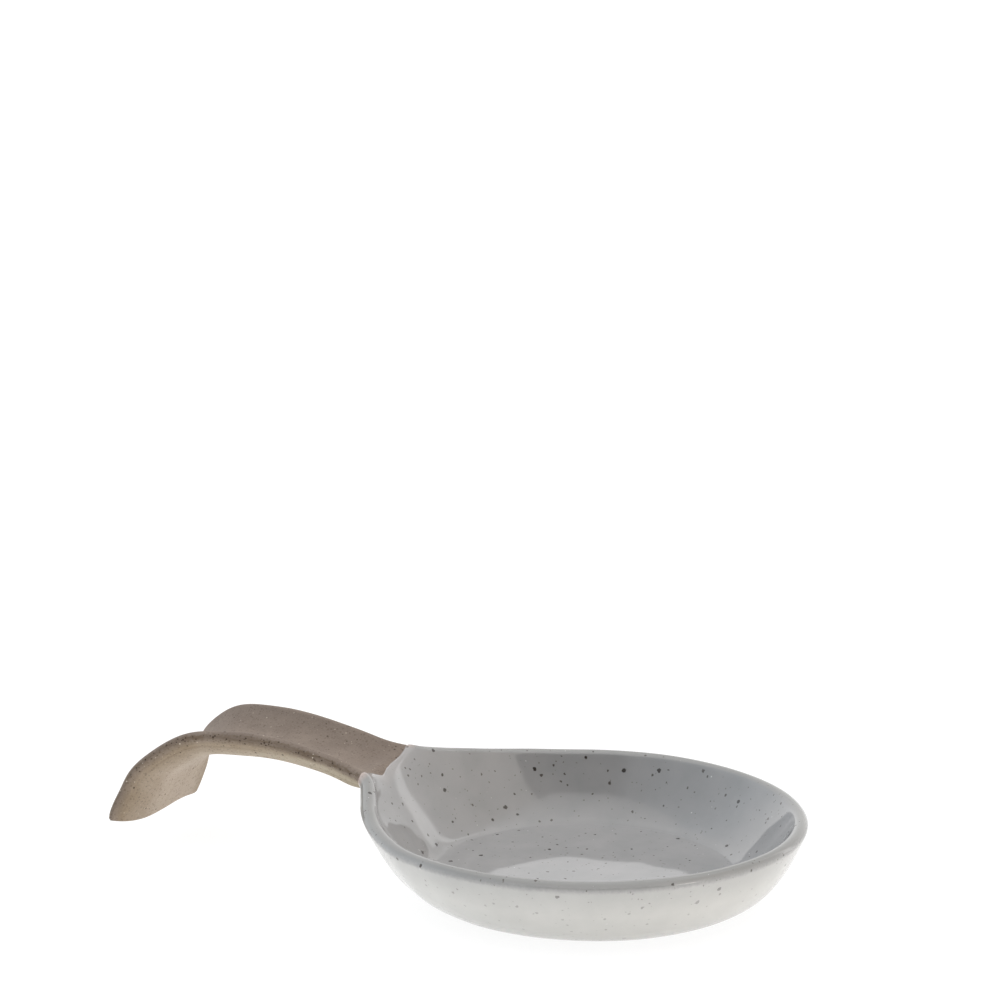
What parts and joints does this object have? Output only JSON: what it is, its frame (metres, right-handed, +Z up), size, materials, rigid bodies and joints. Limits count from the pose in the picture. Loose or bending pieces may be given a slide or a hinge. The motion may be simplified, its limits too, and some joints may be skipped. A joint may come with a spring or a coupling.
{
  "type": "spoon rest",
  "caption": "Round glazed stoneware bowl with a bare clay trough handle that arches up from the rim and curls down behind it.",
  "frame": {"origin": "middle of the flat foot, on the surface that the spoon rest stands on", "axes": "+Z up, -X from the bowl along the handle to its end, Y across"},
  "size_m": [0.2188, 0.1328, 0.0407],
  "materials": {
    "stoneware": "matt",
    "bare_stoneware": "matt, gritty",
    "glaze": "gloss, speckled"
  },
  "bodies": {
    "root": {"bowl_body": "stoneware", "handle": "bare_stoneware", "foot": "bare_stoneware", "glaze_coat": "glaze"}
  },
  "joints": []
}
